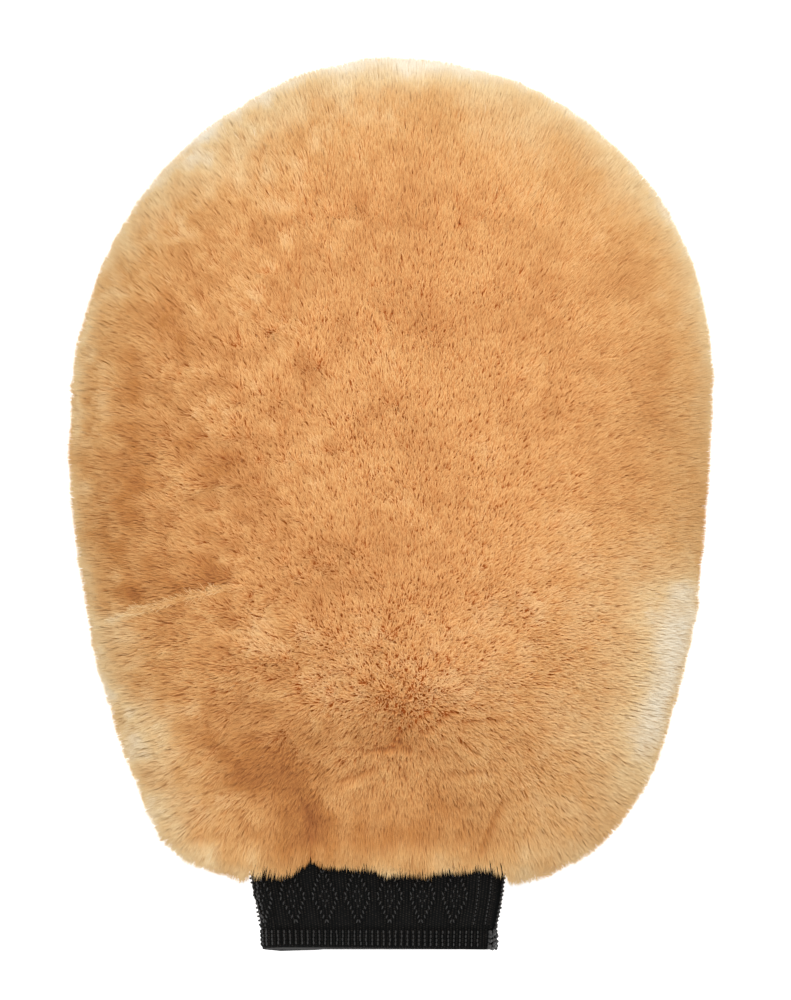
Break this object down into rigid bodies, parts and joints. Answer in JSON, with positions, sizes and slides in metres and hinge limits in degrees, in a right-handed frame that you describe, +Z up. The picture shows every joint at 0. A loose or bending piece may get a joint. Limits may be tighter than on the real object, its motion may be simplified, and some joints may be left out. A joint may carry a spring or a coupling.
{
  "type": "wash mitt",
  "caption": "Sheepskin wash mitt: short dense wool pile outside, bare hide pocket for the hand inside, and a black patterned elastic knit cuff at the wrist.",
  "frame": {"origin": "on the surface the mitt lies on, under the middle of its length and width", "axes": "+X across the mitt to the cuff's side seam, +Y towards the fingertips with the cuff at -Y, +Z up out of the front pile; the mitt lies on its back"},
  "size_m": [0.2, 0.2784, 0.0572],
  "materials": {
    "fleece": "matt, dense shorn wool pile with pale tips",
    "hide": "matt suede",
    "seam_thread": "satin twisted thread",
    "knit": "matt raised rib knit",
    "rubber_thread": "matt",
    "overlock_thread": "satin twisted thread"
  },
  "bodies": {
    "mitt": {"front_wool_upper": "fleece", "front_wool_lower": "fleece", "back_wool": "fleece", "front_hide_upper": "hide", "front_hide_lower": "hide", "back_hide": "hide", "side_seam_stitches": "seam_thread", "cross_seam_stitches": "seam_thread", "mouth_stitches": "seam_thread", "cuff_neck": "knit", "neck_elastic_threads": "rubber_thread", "neck_seam_stitches": "overlock_thread"},
    "cuff": {"cuff_sleeve": "knit", "cuff_hem": "knit", "sleeve_elastic_threads": "rubber_thread", "sleeve_seam_stitches": "overlock_thread"}
  },
  "joints": [
    {"name": "cuff_bend", "type": "hinge", "parent": "mitt", "child": "cuff", "pos_m": [-0.004, -0.11925, 0.0256], "axis": [-1, 0, 0], "range_deg": [-60, 60], "stiffness_Nm_per_rad": 0.01, "deforming": ["cuff_neck", "neck_elastic_threads", "neck_seam_stitches"]}
  ]
}
